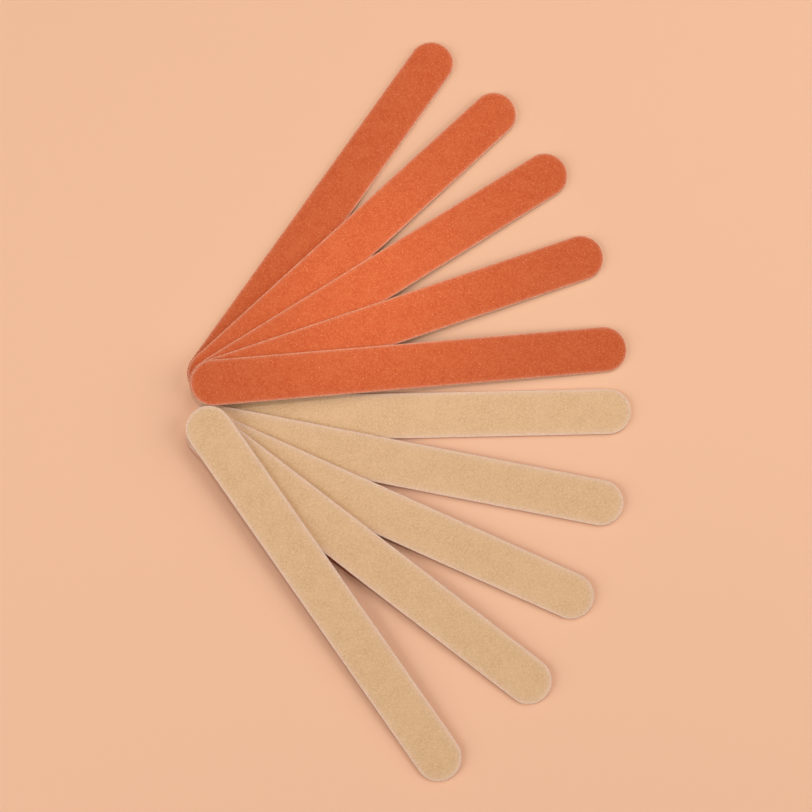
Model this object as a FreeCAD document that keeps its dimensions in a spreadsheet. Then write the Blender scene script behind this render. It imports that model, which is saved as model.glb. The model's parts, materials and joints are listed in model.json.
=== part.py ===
"""Ten two-sided emery boards, fanned in two piles of five on a table.

Each board is a die-cut laminate: a pulp core with coarse abrasive paper glued to one face and fine
abrasive paper to the other. The upper fan lies coarse side up, the lower fan fine side up. In each
fan the first board lies flat on the table, and every later board leans on the edge of the board
below it, with its tip down on the table.
"""
import FreeCAD, Part
import math
import os
import Sketcher

Vector = FreeCAD.Vector
ALONG = Vector(1, 0, 0)
UPWARD = Vector(0, 0, 1)
doc = FreeCAD.newDocument("emery_boards")

# Driving dimensions in millimetres, and the bearing between the piles in degrees.
SIZES = (
    ("board_length", 114.3, "Board, end to end"),
    ("board_width", 11.9, "Board, edge to edge"),
    ("core_thickness", 0.6, "Pulp core"),
    ("glue_thickness", 0.04, "Each glue film"),
    ("coarse_thickness", 0.24, "Coarse paper with its grit"),
    ("fine_thickness", 0.18, "Fine paper with its grit"),
    ("cut_edge_radius", 0.08, "Rim of each paper, rolled over by the die"),
    ("layer_gap", 0.05, "Air between a board and what it rests on"),
    ("pile_gap", 0.7, "Table between the round ends of the two lowest boards"),
    ("pile_bearing", -79.8, "Direction from the upper pile to the lower pile"),
)
sheet = doc.addObject("Spreadsheet::Sheet", "Sizes")
for row, (alias, value, meaning) in enumerate(SIZES, start=1):
    sheet.set(f"A{row}", meaning)
    sheet.set(f"B{row}", str(value))
    sheet.setAlias(f"B{row}", alias)
doc.recompute()

board_length = sheet.get("board_length")
board_width = sheet.get("board_width")
layer_gap = sheet.get("layer_gap")
end_radius = board_width / 2
span = board_length - board_width

# Plies of one board, from the face that lies down to the face that shows.
COARSE_UP = ("fine_paper", "fine_glue", "core", "coarse_glue", "coarse_paper")
FINE_UP = tuple(reversed(COARSE_UP))
PLY_SIZES = {
    "core": "core_thickness",
    "coarse_glue": "glue_thickness",
    "fine_glue": "glue_thickness",
    "coarse_paper": "coarse_thickness",
    "fine_paper": "fine_thickness",
}
board_thickness = sum(sheet.get(size) for size in PLY_SIZES.values())

# The search for a board's lean: its steepest roll in degrees, and how often the range is halved.
STEEPEST_ROLL = 45
ROLL_HALVINGS = 40

# Each board's heading on the table in degrees, and the place of its round end in the pile, as
# shares of the board's width from the round end of the fan's lowest board.
COARSE_FAN_SHARES = (
    (55.2, (0.0, 0.0)),
    (43.2, (0.05, -0.02)),
    (32.4, (0.19, -0.15)),
    (19.1, (0.10, -0.24)),
    (5.2, (0.14, -0.26)),
)
FINE_FAN_SHARES = (
    (1.2, (0.0, 0.0)),
    (-11.0, (-0.05, -0.18)),
    (-24.0, (-0.14, -0.33)),
    (-37.4, (-0.05, -0.41)),
    (-54.8, (-0.12, -0.22)),
)


def turn(axis, degrees):
    """A pure rotation about an axis through the origin."""
    return FreeCAD.Placement(Vector(), FreeCAD.Rotation(axis, degrees))


def shift(x, y, z):
    """A pure move."""
    return FreeCAD.Placement(Vector(x, y, z), FreeCAD.Rotation())


def tip_height(frame):
    """Height above the table of the lowest point of a board's tip."""
    normal = frame.Rotation.multVec(UPWARD)
    return frame.multVec(ALONG * span).z - end_radius * math.hypot(normal.x, normal.y)


def leaning_board(below, heading, end_x, end_y):
    """Place a board on the right-hand top edge of the board below it, with its tip on the table.

    The heading and the round end's place are given in the frame of the board below. The board rolls
    about that edge until its tip is down, and lies flat on the board below if the tip is down first.
    """
    edge = below.multiply(shift(0, -end_radius, board_thickness + layer_gap))
    seat = shift(end_x, end_radius + end_y, 0).multiply(turn(UPWARD, heading))
    roll, steepest = 0, STEEPEST_ROLL
    for _ in range(ROLL_HALVINGS):
        trial = (roll + steepest) / 2
        if tip_height(edge.multiply(turn(ALONG, trial)).multiply(seat)) > layer_gap:
            roll = trial
        else:
            steepest = trial
    return edge.multiply(turn(ALONG, roll)).multiply(seat)


def fan_frames(fan, first_end):
    """Frames of a fan's boards: origin at the round end in the pile, X to the tip, Z out of the top."""
    first_heading = fan[0][0]
    frames = [FreeCAD.Placement(first_end, FreeCAD.Rotation(UPWARD, first_heading))]
    for (last_heading, last_end), (heading, end) in zip(fan, fan[1:]):
        step = Vector(end[0] - last_end[0], end[1] - last_end[1], 0) * board_width
        step = turn(UPWARD, -last_heading).multVec(step)
        frames.append(leaning_board(frames[-1], heading - last_heading, step.x, step.y))
    return frames


# The lower pile starts beside the upper pile, and the middle of the set's box is the origin.
pile_step = turn(UPWARD, sheet.get("pile_bearing")).multVec(ALONG * (board_width + sheet.get("pile_gap")))
frames = fan_frames(COARSE_FAN_SHARES, Vector()) + fan_frames(FINE_FAN_SHARES, pile_step)
ends = [frame.Base for frame in frames] + [frame.multVec(ALONG * span) for frame in frames]
middle_x = (min(end.x for end in ends) + max(end.x for end in ends)) / 2
middle_y = (min(end.y for end in ends) + max(end.y for end in ends)) / 2
frames = [shift(-middle_x, -middle_y, 0).multiply(frame) for frame in frames]


def outline(body, name):
    """The board's outline, two straight edges joined by two half rounds, on the body's own plane."""
    sketch = body.newObject("Sketcher::SketchObject", name)
    plane = next(f for f in body.Origin.OriginFeatures if f.Role == "XY_Plane")
    sketch.AttachmentSupport = [(plane, "")]
    sketch.MapMode = "FlatFace"
    quarter = math.pi / 2
    near_end = Part.Circle(Vector(), UPWARD, end_radius)
    far_end = Part.Circle(ALONG * span, UPWARD, end_radius)
    left = sketch.addGeometry(Part.LineSegment(Vector(0, end_radius, 0), Vector(span, end_radius, 0)))
    tip = sketch.addGeometry(Part.ArcOfCircle(far_end, -quarter, quarter))
    right = sketch.addGeometry(Part.LineSegment(Vector(span, -end_radius, 0), Vector(0, -end_radius, 0)))
    butt = sketch.addGeometry(Part.ArcOfCircle(near_end, quarter, 3 * quarter))
    start, finish, centre = 1, 2, 3
    origin_axis, origin_point = -1, 1
    sketch.addConstraint(Sketcher.Constraint("Tangent", left, finish, tip, finish))
    sketch.addConstraint(Sketcher.Constraint("Tangent", right, start, tip, start))
    sketch.addConstraint(Sketcher.Constraint("Tangent", right, finish, butt, finish))
    sketch.addConstraint(Sketcher.Constraint("Tangent", left, start, butt, start))
    sketch.addConstraint(Sketcher.Constraint("Coincident", butt, centre, origin_axis, origin_point))
    sketch.addConstraint(Sketcher.Constraint("PointOnObject", tip, centre, origin_axis))
    sketch.addConstraint(Sketcher.Constraint("Equal", tip, butt))
    radius = sketch.addConstraint(Sketcher.Constraint("Radius", butt, end_radius))
    reach = sketch.addConstraint(Sketcher.Constraint("DistanceX", butt, centre, tip, centre, span))
    sketch.setExpression(f"Constraints[{radius}]", "Sizes.board_width / 2")
    sketch.setExpression(f"Constraints[{reach}]", "Sizes.board_length - Sizes.board_width")
    return sketch


def ply(label, size, below, frame):
    """One ply of a board: the outline padded to the ply's thickness on top of the plies below it."""
    body = doc.addObject("PartDesign::Body", label)
    body.Label = label
    sketch = outline(body, label + "_outline")
    if below:
        height = " + ".join(f"Sizes.{size_below}" for size_below in below)
        sketch.setExpression("AttachmentOffset.Base.z", height)
    pad = body.newObject("PartDesign::Pad", label + "_sheet")
    pad.Profile = sketch
    pad.setExpression("Length", f"Sizes.{size}")
    body.Placement = frame
    return body, pad


def roll_rim(body, pad, height):
    """Round the rim of an abrasive paper's outer face, which the die rolls over as it cuts."""
    off_face = [abs(face.CenterOfMass.z - height) for face in pad.Shape.Faces]
    outer_face = off_face.index(min(off_face)) + 1
    fillet = body.newObject("PartDesign::Fillet", body.Label + "_rim")
    fillet.Base = (pad, [f"Face{outer_face}"])
    fillet.setExpression("Radius", "Sizes.cut_edge_radius")


plies = []
for number, frame in enumerate(frames, start=1):
    order = COARSE_UP if number <= len(COARSE_FAN_SHARES) else FINE_UP
    for level, name in enumerate(order):
        below = [PLY_SIZES[other] for other in order[:level]]
        body, pad = ply(f"board_{number:02d}_{name}", PLY_SIZES[name], below, frame)
        plies.append((body, pad, level, order))
doc.recompute()

for body, pad, level, order in plies:
    if level == 0:
        roll_rim(body, pad, 0)
    elif level == len(order) - 1:
        roll_rim(body, pad, board_thickness)
doc.recompute()

# Nothing is written unless every object is sound.
for item in doc.Objects:
    if "Invalid" in item.State or "Error" in item.State:
        raise RuntimeError(f"{item.Label} failed: {item.State}")
for body, *_ in plies:
    if body.Shape.isNull() or not body.Shape.isValid():
        raise RuntimeError(f"{body.Label} has no sound shape")

os.makedirs("parts", exist_ok=True)
for body, *_ in plies:
    body.Shape.exportStep(f"parts/{body.Label}.step")
pile_height = max(frame.Base.z for frame in frames) + board_thickness
print(f"{len(plies)} plies written, piles up to {pile_height:.2f} mm high at their round ends")
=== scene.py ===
"""Looks for ten two-sided emery boards, fanned in two piles of five on a table.

The boards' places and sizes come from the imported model. The cores and glue films are the model's own
solids with new materials. The abrasive papers are made here: a sheet with its rolled, flaked rim, and
a coat of grit strewn over it. Lengths are in metres.
"""
import bmesh
import bpy
import json
import math
import numpy as np
from mathutils import Matrix, Vector

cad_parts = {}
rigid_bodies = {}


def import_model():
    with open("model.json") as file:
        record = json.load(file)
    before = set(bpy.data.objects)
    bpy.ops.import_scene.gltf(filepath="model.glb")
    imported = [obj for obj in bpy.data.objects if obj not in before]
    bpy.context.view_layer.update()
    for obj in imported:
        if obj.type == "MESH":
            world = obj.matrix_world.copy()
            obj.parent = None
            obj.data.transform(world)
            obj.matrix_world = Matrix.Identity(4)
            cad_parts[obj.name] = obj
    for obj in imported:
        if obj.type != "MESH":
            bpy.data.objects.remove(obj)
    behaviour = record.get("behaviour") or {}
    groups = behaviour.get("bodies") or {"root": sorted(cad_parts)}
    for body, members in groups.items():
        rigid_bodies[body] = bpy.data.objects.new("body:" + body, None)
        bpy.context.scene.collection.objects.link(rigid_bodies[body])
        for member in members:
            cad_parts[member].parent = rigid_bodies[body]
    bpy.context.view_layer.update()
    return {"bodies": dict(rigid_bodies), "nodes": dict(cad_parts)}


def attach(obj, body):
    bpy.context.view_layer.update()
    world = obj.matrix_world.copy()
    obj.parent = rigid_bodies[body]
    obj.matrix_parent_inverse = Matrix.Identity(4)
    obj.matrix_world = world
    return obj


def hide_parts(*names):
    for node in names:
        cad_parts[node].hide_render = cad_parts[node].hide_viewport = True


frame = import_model()


# Pulp cores. The stiff middle ply of each board is pressed wood pulp, pale and matt. It is stamped
# out together with its papers by one stroke of a steel die, so only its cut edge shows: pulp in
# thin, torn layers that lie flat in the board.
PULP_LIGHT = (0.92, 0.78, 0.65, 1.0)
PULP_DARK = (0.80, 0.62, 0.48, 1.0)
PULP_DARK_UP_TO = 0.3
PULP_LIGHT_FROM = 0.7
PULP_ROUGHNESS = 0.92
PULP_GLOSS = 0.2
PULP_LAYERS_PER_METRE = 14000.0
PULP_STREAKS_PER_METRE = 1600.0
PULP_STREAK_DETAIL = 4.0
PULP_STREAK_ROUGHNESS = 0.65
PULP_TEAR_DEPTH = 0.00002


def open_socket(sockets, name):
    """The socket of that name that is in use, where a node keeps one for each kind of data."""
    return next(socket for socket in sockets if socket.name == name and not socket.is_unavailable)


def feed(tree, value, socket):
    """Link a value that comes from another node to a socket, or set a plain value on it."""
    if isinstance(value, bpy.types.NodeSocket):
        tree.links.new(value, socket)
    else:
        socket.default_value = value


def add_node(tree, kind, settings=None, **inputs):
    """Add a node, set its options, and feed each named socket."""
    node = tree.nodes.new(kind)
    for option, value in (settings or {}).items():
        setattr(node, option, value)
    for name, value in inputs.items():
        feed(tree, value, open_socket(node.inputs, name.replace("_", " ")))
    return node


def math_node(tree, operation, *values):
    """Add a Math node, whose sockets share one name, and give back its result."""
    node = add_node(tree, "ShaderNodeMath", {"operation": operation})
    for socket, value in zip(node.inputs, values):
        feed(tree, value, socket)
    return node.outputs["Value"]


def fade(tree, value, start, end):
    """Go smoothly from 0 at the start value to 1 at the end value."""
    node = add_node(
        tree, "ShaderNodeMapRange", {"interpolation_type": "SMOOTHSTEP"},
        Value=value, From_Min=start, From_Max=end,
    )
    return node.outputs["Result"]


def blend_colours(tree, share, first, second):
    """Mix two colours by a share of the second."""
    node = add_node(tree, "ShaderNodeMix", {"data_type": "RGBA"}, Factor=share, A=first, B=second)
    return open_socket(node.outputs, "Result")


def new_finish(name, roughness, gloss):
    """A material with its shader's plain values set, ready for its own nodes."""
    material = bpy.data.materials.new(name)
    material.use_nodes = True
    shader = material.node_tree.nodes["Principled BSDF"]
    shader.inputs["Roughness"].default_value = roughness
    shader.inputs["Specular IOR Level"].default_value = gloss
    return material, material.node_tree, shader


def add_relief(tree, shader, height, depth):
    """Feed a height to the shader's normal through a Bump node."""
    bump = add_node(tree, "ShaderNodeBump", Height=height, Distance=depth, Strength=1.0)
    tree.links.new(bump.outputs["Normal"], shader.inputs["Normal"])


def pulp_finish():
    """Pale pulp in thin, flat layers, with darker streaks where they are torn."""
    material, tree, shader = new_finish("pulp_board", PULP_ROUGHNESS, PULP_GLOSS)
    place = add_node(tree, "ShaderNodeTexCoord").outputs["Object"]
    layered = add_node(
        tree, "ShaderNodeMapping", Vector=place,
        Scale=(PULP_STREAKS_PER_METRE, PULP_STREAKS_PER_METRE, PULP_LAYERS_PER_METRE),
    ).outputs["Vector"]
    streaks = add_node(
        tree, "ShaderNodeTexNoise", Vector=layered, Scale=1.0,
        Detail=PULP_STREAK_DETAIL, Roughness=PULP_STREAK_ROUGHNESS,
    ).outputs["Fac"]
    share = fade(tree, streaks, PULP_DARK_UP_TO, PULP_LIGHT_FROM)
    tree.links.new(blend_colours(tree, share, PULP_DARK, PULP_LIGHT), shader.inputs["Base Color"])
    add_relief(tree, shader, streaks, PULP_TEAR_DEPTH)
    return material


def dress(node_name, material):
    """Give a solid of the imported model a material."""
    materials = frame["nodes"][node_name].data.materials
    materials.clear()
    materials.append(material)


boards = sorted(frame["bodies"])
pulp_board = pulp_finish()
for board in boards:
    dress(f"{board}_core", pulp_board)


# Glue films. Each paper is stuck to the core with a thin film of dried animal glue. Its edge shows
# as a fine amber line, broken where the die has smeared pulp over it.
GLUE_CLEAR = (0.64, 0.43, 0.26, 1.0)
GLUE_SMEARED = (0.86, 0.69, 0.54, 1.0)
GLUE_CLEAR_UP_TO = 0.35
GLUE_SMEARED_FROM = 0.6
GLUE_ROUGHNESS = 0.45
GLUE_GLOSS = 0.5
GLUE_SMEARS_PER_METRE = 1100.0
GLUE_SMEAR_DETAIL = 3.0


def glue_finish():
    """Amber glue with pale smears along its edge."""
    material, tree, shader = new_finish("dried_glue", GLUE_ROUGHNESS, GLUE_GLOSS)
    place = add_node(tree, "ShaderNodeTexCoord").outputs["Object"]
    smears = add_node(
        tree, "ShaderNodeTexNoise",
        Vector=place, Scale=GLUE_SMEARS_PER_METRE, Detail=GLUE_SMEAR_DETAIL,
    ).outputs["Fac"]
    share = fade(tree, smears, GLUE_CLEAR_UP_TO, GLUE_SMEARED_FROM)
    tree.links.new(blend_colours(tree, share, GLUE_CLEAR, GLUE_SMEARED), shader.inputs["Base Color"])
    return material


dried_glue = glue_finish()
for board in boards:
    dress(f"{board}_coarse_glue", dried_glue)
    dress(f"{board}_fine_glue", dried_glue)


# Coarse papers. Each is a sheet of stout backing paper with an orange-red resin coat that holds
# coarse grit. The die bevels its rim and flakes some grit off there, so the pale paper shows through
# in a soft line.
COARSE_COLOURS = {
    "deep": (0.403, 0.0705, 0.0228, 1.0),
    "usual": (0.456, 0.0875, 0.029, 1.0),
    "light": (0.502, 0.121, 0.0445, 1.0),
    "paper": (0.86, 0.60, 0.43, 1.0),
    "clean_grain": (0.78, 0.38, 0.21, 1.0),
}
COARSE_FACE = {
    "seed": 100,
    "rim_roll": 0.00003,
    "grain_stand": 0.00009,
    "grains_per_area": 9e6,
    "closest_grains": 0.00036,
    "smallest_grain": 0.00006,
    "largest_grain": 0.00011,
    "grain_roughness": 0.7,
    "glint_roughness": 0.3,
    "speck": 0.00032,
    "speck_relief": 0.000012,
    "cloud": 0.003,
    "coat_roughness": 0.33,
    "gloss_share": 0.145,
    "bare_share": 0.45,
    "worn_width": 0.00026,
    "flake": 0.0003,
}
RIM_POINT_SPACING = 0.00036
TOP_RING_INSETS = (0.0002, 0.0004, 0.0008, 0.0013, 0.0021, 0.0032, 0.0045)
EDGE_RAGGEDNESS = 0.00004
RAGGED_WIDTH = 0.0008
EDGE_BEVEL = 0.00001
ROLL_STEPS = 3
SHARD_SEED = 11
SHARD_SHAPES = 6
SHARD_SIDES = 5
SHARD_HALF_HEIGHT = 0.5
SHARD_LEAST_REACH = 0.7
SHARD_REACH_SPREAD = 0.3
SHARD_LEAST_RISE = 0.1
SHARD_RISE_SPREAD = 0.6
SHARD_PEAK_SPREAD = 0.3
SHARD_TILT = math.radians(16)
SPECK_SOFTNESS = 0.4
SPECK_DETAIL = 2.0
SPECK_CELL_SHARE = 0.5
SPECK_DEEP_UP_TO = 0.2
SPECK_USUAL_AT = 0.5
SPECK_LIGHT_FROM = 0.8
CLOUD_DETAIL = 3.0
CLOUD_FROM = 0.35
CLOUD_FULL_AT = 0.75
CLOUD_STRENGTH = 0.35
FLAKE_DETAIL = 2.0
FLAKE_HELD_UP_TO = 0.35
FLAKE_OFF_FROM = 0.65
LEAST_FLAKING = 0.5
GRAIN_GLOSS = 0.4
GRAIN_USUAL_AT = 0.5
GRAIN_LIGHT_AT = 0.93
GRAIN_CLEAN_FROM = 0.97


def own_axes(node_name):
    """Centre and axes of a flat solid, longest axis first, from how its surface is spread."""
    mesh = frame["nodes"][node_name].data
    mesh.calc_loop_triangles()
    corners = np.array([[mesh.vertices[v].co for v in t.vertices] for t in mesh.loop_triangles])
    corner_count = corners.shape[1]
    sides = np.cross(corners[:, 1] - corners[:, 0], corners[:, 2] - corners[:, 0])
    areas = np.linalg.norm(sides, axis=1) / 2
    middles = corners.mean(axis=1)
    centre = (middles * areas[:, None]).sum(axis=0) / areas.sum()
    corners, middles = corners - centre, middles - centre
    spread = np.einsum("t,tci,tcj->ij", areas, corners, corners)
    spread += corner_count ** 2 * np.einsum("t,ti,tj->ij", areas, middles, middles)
    _, axes = np.linalg.eigh(spread)
    return centre, axes.T[::-1]


def paper_seat(board, paper):
    """Where a paper lies: its frame, with X to the tip and Z out of the board, and its sizes.

    The frame's origin is the centre of the round end in the pile, on the glued face.
    """
    core_centre, (along, across, out) = own_axes(f"{board}_core")
    along = along * np.sign(along[0])
    solid = frame["nodes"][f"{board}_{paper}"].data
    points = np.array([v.co for v in solid.vertices]) - core_centre
    out = out * np.sign((points @ out).mean())
    across = np.cross(out, along)
    reach = np.abs(points @ along).max()
    radius = np.abs(points @ across).max()
    depths = points @ out
    seat = Matrix.Identity(4)
    for column, axis in enumerate((along, across, out)):
        for row in range(3):
            seat[row][column] = axis[row]
    span = 2 * (reach - radius)
    seat.translation = Vector(core_centre + out * depths.min() - along * span / 2)
    return seat, span, radius, depths.max() - depths.min()


def round_the_edge(span, radius):
    """Points round a board's outline, and how many of them each round end has.

    Each point is given by its centre on the board's middle line and its way out from there.
    """
    side_steps = round(span / RIM_POINT_SPACING)
    end_steps = 2 * round(math.pi * radius / RIM_POINT_SPACING / 2)
    side = np.linspace(0, span, side_steps, endpoint=False)
    angles = np.linspace(-math.pi / 2, math.pi / 2, end_steps, endpoint=False)
    tip_ways = np.stack((np.cos(angles), np.sin(angles)), axis=1)
    side_ways = np.tile((0.0, 1.0), (side_steps, 1))
    centres = np.concatenate((side, np.full(end_steps, span), span - side, np.zeros(end_steps)))
    ways = np.concatenate((-side_ways, tip_ways, side_ways, -tip_ways))
    return centres, ways, end_steps


def cap_faces(count, first, end_steps, upward):
    """Faces that close a ring of points straight across the board, from the tip to the round end."""
    tip = (count - 2 * end_steps) // 2 + end_steps // 2
    faces = []
    for step in range(count // 2):
        near, far = (tip - step) % count, (tip + step) % count
        next_near, next_far = (tip - step - 1) % count, (tip + step + 1) % count
        face = [near, far, next_far, next_near]
        face = [point for at, point in enumerate(face) if point not in face[:at]]
        faces.append([first + point for point in (face if upward else face[::-1])])
    return faces


def paper_rings(thickness, stand, roll):
    """Rings that make a sheet, from its glued face up its wall, over its rolled rim and in.

    Each has its inset, its height, its way in from the rim, the share of grit that the coat holds
    there, and its share of the cut's raggedness.
    """
    wall_top = thickness - stand - roll
    rings = [(0.0, 0.0, -wall_top, 0.0, 0.0), (EDGE_BEVEL, wall_top, 0.0, 0.0, 1.0)]
    for step in range(1, ROLL_STEPS + 1):
        turned = math.pi / 2 * step / ROLL_STEPS
        inset = EDGE_BEVEL + roll * (1 - math.cos(turned))
        rings.append((inset, wall_top + roll * math.sin(turned), roll * turned, 0.0, 1.0))
    flat_start, _, rolled, _, _ = rings[-1]
    for inset in TOP_RING_INSETS:
        ragged_share = max(0.0, 1 - inset / RAGGED_WIDTH)
        rings.append((flat_start + inset, wall_top + roll, rolled + inset, 1.0, ragged_share))
    return rings


def paper_sheet(name, seat, span, radius, rings, ragged_seed):
    """A sheet with a ragged, bevelled wall and a rolled rim, closed all round, in its place."""
    centres, ways, end_steps = round_the_edge(span, radius)
    count = len(centres)
    cut = EDGE_RAGGEDNESS * np.random.default_rng(ragged_seed).random(count)
    verts, rim_distance, grit_share = [], [], []
    for inset, height, way_in, share, ragged_share in rings:
        reach = (radius - inset - cut * ragged_share)[:, None] * ways
        spots = np.column_stack((centres + reach[:, 0], reach[:, 1], np.full(count, height)))
        verts.extend(spots.tolist())
        rim_distance += [way_in] * count
        grit_share += [share] * count
    faces = []
    for level in range(len(rings) - 1):
        low, high = level * count, (level + 1) * count
        for at in range(count):
            beside = (at + 1) % count
            faces.append((low + at, low + beside, high + beside, high + at))
    faces += cap_faces(count, 0, end_steps, upward=False)
    faces += cap_faces(count, (len(rings) - 1) * count, end_steps, upward=True)
    mesh = bpy.data.meshes.new(name)
    mesh.from_pydata([seat @ Vector(spot) for spot in verts], [], faces)
    for attribute, values in (("rim_distance", rim_distance), ("grit_share", grit_share)):
        mesh.attributes.new(attribute, "FLOAT", "POINT").data.foreach_set("value", values)
    mesh.shade_smooth()
    sheet = bpy.data.objects.new(name, mesh)
    bpy.context.scene.collection.objects.link(sheet)
    return sheet


def grit_shards():
    """A few broken crystals, one unit in radius, sunk by half their height in their coat."""
    shards = bpy.data.collections.new("grit_shards")
    chips = np.random.default_rng(SHARD_SEED)
    for number in range(SHARD_SHAPES):
        angles = np.sort(chips.random(SHARD_SIDES)) + np.arange(SHARD_SIDES)
        angles *= 2 * math.pi / SHARD_SIDES
        shape = bmesh.new()
        for angle in angles:
            reach = SHARD_LEAST_REACH + SHARD_REACH_SPREAD * chips.random()
            rise = SHARD_LEAST_RISE + SHARD_RISE_SPREAD * chips.random()
            height = SHARD_HALF_HEIGHT * rise
            shape.verts.new((reach * math.cos(angle), reach * math.sin(angle), height))
        peak_x = SHARD_PEAK_SPREAD * (chips.random() - 0.5)
        peak_y = SHARD_PEAK_SPREAD * (chips.random() - 0.5)
        shape.verts.new((peak_x, peak_y, SHARD_HALF_HEIGHT))
        shape.verts.new((0.0, 0.0, -SHARD_HALF_HEIGHT))
        bmesh.ops.convex_hull(shape, input=shape.verts)
        mesh = bpy.data.meshes.new(f"grit_shard_{number}")
        shape.to_mesh(mesh)
        shape.free()
        shards.objects.link(bpy.data.objects.new(mesh.name, mesh))
    return shards


def new_tree(name, kind, inputs, outputs):
    """A node tree with these named sockets, what it is given, and where its results go."""
    tree = bpy.data.node_groups.new(name, kind)
    for way, sockets in (("INPUT", inputs), ("OUTPUT", outputs)):
        for socket, data in sockets.items():
            tree.interface.new_socket(socket, in_out=way, socket_type="NodeSocket" + data)
    given = tree.nodes.new("NodeGroupInput").outputs
    result = tree.nodes.new("NodeGroupOutput").inputs
    return tree, given, result


def grit_strewer():
    """A Geometry Nodes tree that strews shards over a sheet's coated face and gives back the grit."""
    tree, given, result = new_tree(
        "grit_strewer", "GeometryNodeTree",
        {
            "Sheet": "Geometry", "Closest Grains": "Float", "Grains per Area": "Float",
            "Smallest Grain": "Float", "Largest Grain": "Float", "Tilt": "Float", "Seed": "Int",
            "Shards": "Collection", "Finish": "Material",
        },
        {"Grit": "Geometry"},
    )
    share = add_node(
        tree, "GeometryNodeInputNamedAttribute", {"data_type": "FLOAT"}, Name="grit_share"
    )
    strewn = add_node(
        tree, "GeometryNodeDistributePointsOnFaces", {"distribute_method": "POISSON"},
        Mesh=given["Sheet"], Distance_Min=given["Closest Grains"],
        Density_Max=given["Grains per Area"], Seed=given["Seed"],
        Density_Factor=open_socket(share.outputs, "Attribute"),
    )
    lean = math_node(tree, "MULTIPLY", given["Tilt"], -1.0)
    most = add_node(tree, "ShaderNodeCombineXYZ", X=given["Tilt"], Y=given["Tilt"], Z=math.tau)
    least = add_node(tree, "ShaderNodeCombineXYZ", X=lean, Y=lean, Z=0.0)
    spin = add_node(
        tree, "FunctionNodeRandomValue", {"data_type": "FLOAT_VECTOR"},
        Min=least.outputs["Vector"], Max=most.outputs["Vector"], Seed=given["Seed"],
    )
    turned = add_node(
        tree, "FunctionNodeRotateRotation", {"rotation_space": "LOCAL"},
        Rotation=strewn.outputs["Rotation"], Rotate_By=open_socket(spin.outputs, "Value"),
    )
    size = add_node(
        tree, "FunctionNodeRandomValue", {"data_type": "FLOAT"},
        Min=given["Smallest Grain"], Max=given["Largest Grain"], Seed=given["Seed"],
    )
    shapes = add_node(
        tree, "GeometryNodeCollectionInfo",
        Collection=given["Shards"], Separate_Children=True, Reset_Children=True,
    )
    grains = add_node(
        tree, "GeometryNodeInstanceOnPoints", Points=strewn.outputs["Points"],
        Instance=shapes.outputs["Instances"], Pick_Instance=True,
        Rotation=turned.outputs["Rotation"], Scale=open_socket(size.outputs, "Value"),
    )
    shade = add_node(
        tree, "FunctionNodeRandomValue", {"data_type": "FLOAT"}, Seed=given["Seed"]
    )
    shaded = add_node(
        tree, "GeometryNodeStoreNamedAttribute", {"data_type": "FLOAT", "domain": "INSTANCE"},
        Geometry=grains.outputs["Instances"], Name="grain_shade",
        Value=open_socket(shade.outputs, "Value"),
    )
    real = add_node(tree, "GeometryNodeRealizeInstances", Geometry=shaded.outputs["Geometry"])
    coated = add_node(
        tree, "GeometryNodeSetMaterial",
        Geometry=real.outputs["Geometry"], Material=given["Finish"],
    )
    tree.links.new(coated.outputs["Geometry"], result["Grit"])
    return tree


def made_by_nodes(name, carrier, tree, **values):
    """Run a tree on a piece with these inputs, and give back what it makes as a plain mesh object."""
    modifier = carrier.modifiers.new(name, "NODES")
    modifier.node_group = tree
    for item in tree.interface.items_tree:
        key = item.name.replace(" ", "_")
        if item.in_out == "INPUT" and key in values:
            modifier[item.identifier] = values[key]
    evaluated = carrier.evaluated_get(bpy.context.evaluated_depsgraph_get())
    mesh = bpy.data.meshes.new_from_object(evaluated)
    carrier.modifiers.remove(modifier)
    mesh.name = name
    piece = bpy.data.objects.new(name, mesh)
    bpy.context.scene.collection.objects.link(piece)
    return piece


def speckle_group():
    """Shared look of a grit coat: soft specks in a cloudy coat, and the height of the specks."""
    tree, given, result = new_tree(
        "grit_speckle", "ShaderNodeTree",
        {"Place": "Vector", "Grains per Metre": "Float", "Clouds per Metre": "Float"},
        {"Specks": "Float", "Clouds": "Float", "Height": "Float"},
    )
    place, grains_per_metre = given["Place"], given["Grains per Metre"]
    grains = add_node(
        tree, "ShaderNodeTexVoronoi", {"feature": "SMOOTH_F1"},
        Vector=place, Scale=grains_per_metre, Smoothness=SPECK_SOFTNESS,
    ).outputs
    fine = add_node(
        tree, "ShaderNodeTexNoise", Vector=place, Scale=grains_per_metre, Detail=SPECK_DETAIL
    ).outputs["Fac"]
    clouds = add_node(
        tree, "ShaderNodeTexNoise",
        Vector=place, Scale=given["Clouds per Metre"], Detail=CLOUD_DETAIL,
    ).outputs["Fac"]
    cell = add_node(tree, "ShaderNodeSeparateColor", Color=grains["Color"]).outputs["Red"]
    specks = math_node(tree, "MULTIPLY", cell, SPECK_CELL_SHARE)
    specks = math_node(tree, "MULTIPLY_ADD", fine, 1 - SPECK_CELL_SHARE, specks)
    tree.links.new(specks, result["Specks"])
    tree.links.new(clouds, result["Clouds"])
    tree.links.new(math_node(tree, "SUBTRACT", 1.0, grains["Distance"]), result["Height"])
    return tree


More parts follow.
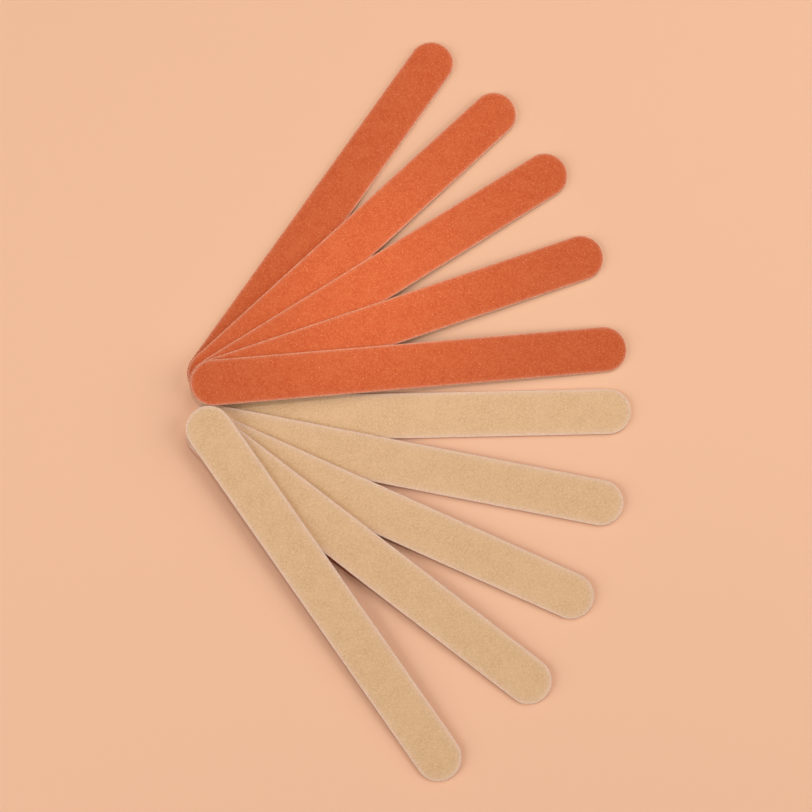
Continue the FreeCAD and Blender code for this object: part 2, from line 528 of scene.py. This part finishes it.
def cut_rim_group():
    """Shared look of a die-cut rim: the coat thins towards the cut, flake by flake, to bare paper."""
    tree, given, result = new_tree(
        "cut_rim", "ShaderNodeTree",
        {
            "Place": "Vector", "Rim Distance": "Float", "Bare Share": "Float",
            "Worn Width": "Float", "Flakes per Metre": "Float",
        },
        {"Bare Paper": "Float"},
    )
    flakes = add_node(
        tree, "ShaderNodeTexNoise",
        Vector=given["Place"], Scale=given["Flakes per Metre"], Detail=FLAKE_DETAIL,
    ).outputs["Fac"]
    way_in = math_node(tree, "DIVIDE", given["Rim Distance"], given["Worn Width"])
    worn = math_node(tree, "EXPONENT", math_node(tree, "MULTIPLY", way_in, -1.0))
    flaked = fade(tree, flakes, FLAKE_HELD_UP_TO, FLAKE_OFF_FROM)
    patchy = math_node(tree, "ADD", flaked, LEAST_FLAKING)
    bare = math_node(tree, "MULTIPLY", worn, given["Bare Share"])
    bare = math_node(tree, "MULTIPLY", bare, patchy)
    tree.links.new(math_node(tree, "MINIMUM", bare, 1.0), result["Bare Paper"])
    return tree


def raised(colour, share):
    """A colour made brighter, to make up for a share of the shader that doesn't show it."""
    return [part / (1 - share) for part in colour[:3]] + [1.0]


def coat_finish(name, colours, face):
    """A coat full of grit, worn to bare paper along the cut rim.

    Its faint gloss has the coat's own colour, also at a low angle, so a small share of the shader is
    metallic and none is clear. The coat's colours are raised by what that share takes from them.
    """
    gloss_share = face["gloss_share"]
    deep, usual, light = (raised(colours[shade], gloss_share) for shade in ("deep", "usual", "light"))
    material, tree, shader = new_finish(name, face["coat_roughness"], gloss=0.0)
    place = add_node(tree, "ShaderNodeTexCoord").outputs["Object"]
    speckle = add_node(
        tree, "ShaderNodeGroup", {"node_tree": grit_speckle}, Place=place,
        Grains_per_Metre=1 / face["speck"], Clouds_per_Metre=1 / face["cloud"],
    ).outputs
    distance = add_node(tree, "ShaderNodeAttribute", {"attribute_name": "rim_distance"})
    bare = add_node(
        tree, "ShaderNodeGroup", {"node_tree": cut_rim},
        Place=place, Rim_Distance=distance.outputs["Fac"], Bare_Share=face["bare_share"],
        Worn_Width=face["worn_width"], Flakes_per_Metre=1 / face["flake"],
    ).outputs["Bare Paper"]
    specks = speckle["Specks"]
    coat = blend_colours(tree, fade(tree, specks, SPECK_DEEP_UP_TO, SPECK_USUAL_AT), deep, usual)
    coat = blend_colours(tree, fade(tree, specks, SPECK_USUAL_AT, SPECK_LIGHT_FROM), coat, light)
    cloudy = fade(tree, speckle["Clouds"], CLOUD_FROM, CLOUD_FULL_AT)
    coat = blend_colours(tree, math_node(tree, "MULTIPLY", cloudy, CLOUD_STRENGTH), coat, light)
    tree.links.new(blend_colours(tree, bare, coat, colours["paper"]), shader.inputs["Base Color"])
    coated = math_node(tree, "SUBTRACT", 1.0, bare)
    tree.links.new(math_node(tree, "MULTIPLY", coated, gloss_share), shader.inputs["Metallic"])
    add_relief(tree, shader, speckle["Height"], face["speck_relief"])
    return material


def grain_finish(name, colours, face):
    """Grit under its thin size coat: each grain has its own shade, and a few stand clean and glint."""
    material, tree, shader = new_finish(name, face["grain_roughness"], GRAIN_GLOSS)
    shade = add_node(tree, "ShaderNodeAttribute", {"attribute_name": "grain_shade"}).outputs["Fac"]
    usual = fade(tree, shade, 0.0, GRAIN_USUAL_AT)
    light = fade(tree, shade, GRAIN_USUAL_AT, GRAIN_LIGHT_AT)
    clean = fade(tree, shade, GRAIN_LIGHT_AT, GRAIN_CLEAN_FROM)
    colour = blend_colours(tree, usual, colours["deep"], colours["usual"])
    colour = blend_colours(tree, light, colour, colours["light"])
    colour = blend_colours(tree, clean, colour, colours["clean_grain"])
    tree.links.new(colour, shader.inputs["Base Color"])
    glint = add_node(
        tree, "ShaderNodeMapRange",
        Value=clean, To_Min=face["grain_roughness"], To_Max=face["glint_roughness"],
    )
    tree.links.new(glint.outputs["Result"], shader.inputs["Roughness"])
    return material


def lay_paper(board, paper, face, coat, grain_coat):
    """Make one board's sheet and its grit, and put them in place of the model's plain paper.

    The sheet's face lies below the model's paper by the height that its grains stand.
    """
    seat, span, radius, thickness = paper_seat(board, paper)
    seed = face["seed"] + boards.index(board)
    rings = paper_rings(thickness, face["grain_stand"], face["rim_roll"])
    sheet = paper_sheet(f"{board}_{paper}_sheet", seat, span, radius, rings, seed)
    sheet.data.materials.append(coat)
    grit = made_by_nodes(
        f"{board}_{paper}_grit", sheet, strewer,
        Closest_Grains=face["closest_grains"], Grains_per_Area=face["grains_per_area"],
        Smallest_Grain=face["smallest_grain"], Largest_Grain=face["largest_grain"],
        Tilt=SHARD_TILT, Seed=seed, Shards=shards, Finish=grain_coat,
    )
    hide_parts(f"{board}_{paper}")
    for piece in (sheet, grit):
        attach(piece, board)


shards = grit_shards()
strewer = grit_strewer()
grit_speckle = speckle_group()
cut_rim = cut_rim_group()
coarse_coat = coat_finish("coarse_coat", COARSE_COLOURS, COARSE_FACE)
coarse_grains = grain_finish("coarse_grains", COARSE_COLOURS, COARSE_FACE)
for board in boards:
    lay_paper(board, "coarse_paper", COARSE_FACE, coarse_coat, coarse_grains)


# Fine papers. The other face of each board carries fine tan grit in a glue coat, on backing paper of
# the same kind. The fine coat is brittle, so the die leaves a wider pale rim round it, speckled where
# flakes have come away.
FINE_COLOURS = {
    "deep": (0.531, 0.327, 0.172, 1.0),
    "usual": (0.600, 0.377, 0.205, 1.0),
    "light": (0.673, 0.442, 0.253, 1.0),
    "paper": (0.80, 0.62, 0.61, 1.0),
    "clean_grain": (0.85, 0.70, 0.52, 1.0),
}
FINE_FACE = {
    "seed": 200,
    "rim_roll": 0.00003,
    "grain_stand": 0.00005,
    "grains_per_area": 13e6,
    "closest_grains": 0.0003,
    "smallest_grain": 0.00004,
    "largest_grain": 0.00006,
    "grain_roughness": 0.8,
    "glint_roughness": 0.4,
    "speck": 0.00024,
    "speck_relief": 0.000008,
    "cloud": 0.004,
    "coat_roughness": 0.45,
    "gloss_share": 0.065,
    "bare_share": 0.41,
    "worn_width": 0.0006,
    "flake": 0.0003,
}
fine_coat = coat_finish("fine_coat", FINE_COLOURS, FINE_FACE)
fine_grains = grain_finish("fine_grains", FINE_COLOURS, FINE_FACE)
for board in boards:
    lay_paper(board, "fine_paper", FINE_FACE, fine_coat, fine_grains)


# Table. The boards lie on a plain round table top covered in matt peach paper. It lies just under the
# lowest boards and isn't part of the set.
TABLE_RADIUS = 0.55
TABLE_SIDES = 128
TABLE_DROP = 0.00001
TABLE_COLOUR = (0.79, 0.467, 0.300, 1.0)
TABLE_ROUGHNESS = 0.9
TABLE_GLOSS = 0.1


def table_sheet():
    """A wide flat disc of paper."""
    shape = bmesh.new()
    bmesh.ops.create_circle(shape, cap_ends=True, segments=TABLE_SIDES, radius=TABLE_RADIUS)
    mesh = bpy.data.meshes.new("table")
    shape.to_mesh(mesh)
    shape.free()
    mesh.transform(Matrix.Translation((0, 0, -TABLE_DROP)))
    material, _, shader = new_finish("table_paper", TABLE_ROUGHNESS, TABLE_GLOSS)
    shader.inputs["Base Color"].default_value = TABLE_COLOUR
    mesh.materials.append(material)
    table = bpy.data.objects.new("table", mesh)
    bpy.context.scene.collection.objects.link(table)
    return table


table_sheet()


# Light. Wide soft boxes stand right and left of the table, a smaller one behind it and a lamp almost
# overhead, and a weak warm room light fills from all round. Past the table's edge the camera sees a
# plain backdrop close to the table's colour, which gives no light.
LIGHTS = {
    "soft_box_right": {"bearing": 0.0, "rise": 34.0, "away": 0.9, "width": 0.75, "watts": 5.7},
    "soft_box_left": {"bearing": 195.0, "rise": 34.0, "away": 0.9, "width": 0.75, "watts": 6.4},
    "soft_box_back": {"bearing": 70.0, "rise": 52.0, "away": 0.9, "width": 0.45, "watts": 1.95},
    "lamp_overhead": {"bearing": 80.0, "rise": 79.0, "away": 0.6, "width": 0.04, "watts": 0.60},
}
LIGHT_COLOUR = (0.95, 1.0, 1.02)
ROOM_COLOUR = (1.0, 0.45, 0.25, 1.0)
ROOM_STRENGTH = 0.13
BACKDROP_COLOUR = (0.79, 0.49, 0.31, 1.0)
for name, place in LIGHTS.items():
    light = bpy.data.lights.new(name, "AREA")
    light.size = place["width"]
    light.energy = place["watts"]
    light.color = LIGHT_COLOUR
    bearing, rise = math.radians(place["bearing"]), math.radians(place["rise"])
    level = math.cos(rise)
    way = Vector((math.cos(bearing) * level, math.sin(bearing) * level, math.sin(rise)))
    stand = bpy.data.objects.new(name, light)
    stand.location = place["away"] * way
    stand.rotation_euler = (-way).to_track_quat("-Z", "Y").to_euler()
    bpy.context.scene.collection.objects.link(stand)
room = bpy.data.worlds.new("room")
room.use_nodes = True
room_tree = room.node_tree
fill = room_tree.nodes["Background"]
fill.inputs["Color"].default_value = ROOM_COLOUR
fill.inputs["Strength"].default_value = ROOM_STRENGTH
backdrop = add_node(room_tree, "ShaderNodeBackground", Color=BACKDROP_COLOUR)
looking = add_node(room_tree, "ShaderNodeLightPath").outputs["Is Camera Ray"]
seen = add_node(room_tree, "ShaderNodeMixShader")
choices = (looking, fill.outputs["Background"], backdrop.outputs["Background"])
for choice, socket in zip(choices, seen.inputs):
    room_tree.links.new(choice, socket)
room_tree.links.new(seen.outputs["Shader"], room_tree.nodes["World Output"].inputs["Surface"])
bpy.context.scene.world = room
bpy.context.scene.view_settings.view_transform = "Standard"


# Camera. It hangs above the table, tipped a few degrees towards its own side. Its focal length is in
# pixels of a square picture.
CAMERA_AIM = Vector((-0.00066, -0.00139, 0.0))
CAMERA_DISTANCE = 0.3416
CAMERA_TIP = math.radians(6.13)
PICTURE_WIDTH = 812
FOCAL_LENGTH_IN_PIXELS = 1300
SENSOR_WIDTH = 36.0
NEAREST_SEEN = 0.01
FURTHEST_SEEN = 20.0
lens = bpy.data.cameras.new("camera")
lens.sensor_width = SENSOR_WIDTH
lens.lens = SENSOR_WIDTH * FOCAL_LENGTH_IN_PIXELS / PICTURE_WIDTH
lens.clip_start = NEAREST_SEEN
lens.clip_end = FURTHEST_SEEN
back_and_up = Vector((0, -math.sin(CAMERA_TIP), math.cos(CAMERA_TIP)))
camera = bpy.data.objects.new("camera", lens)
camera.location = CAMERA_AIM + CAMERA_DISTANCE * back_and_up
camera.rotation_euler = (CAMERA_TIP, 0, 0)
bpy.context.scene.collection.objects.link(camera)
bpy.context.scene.camera = camera
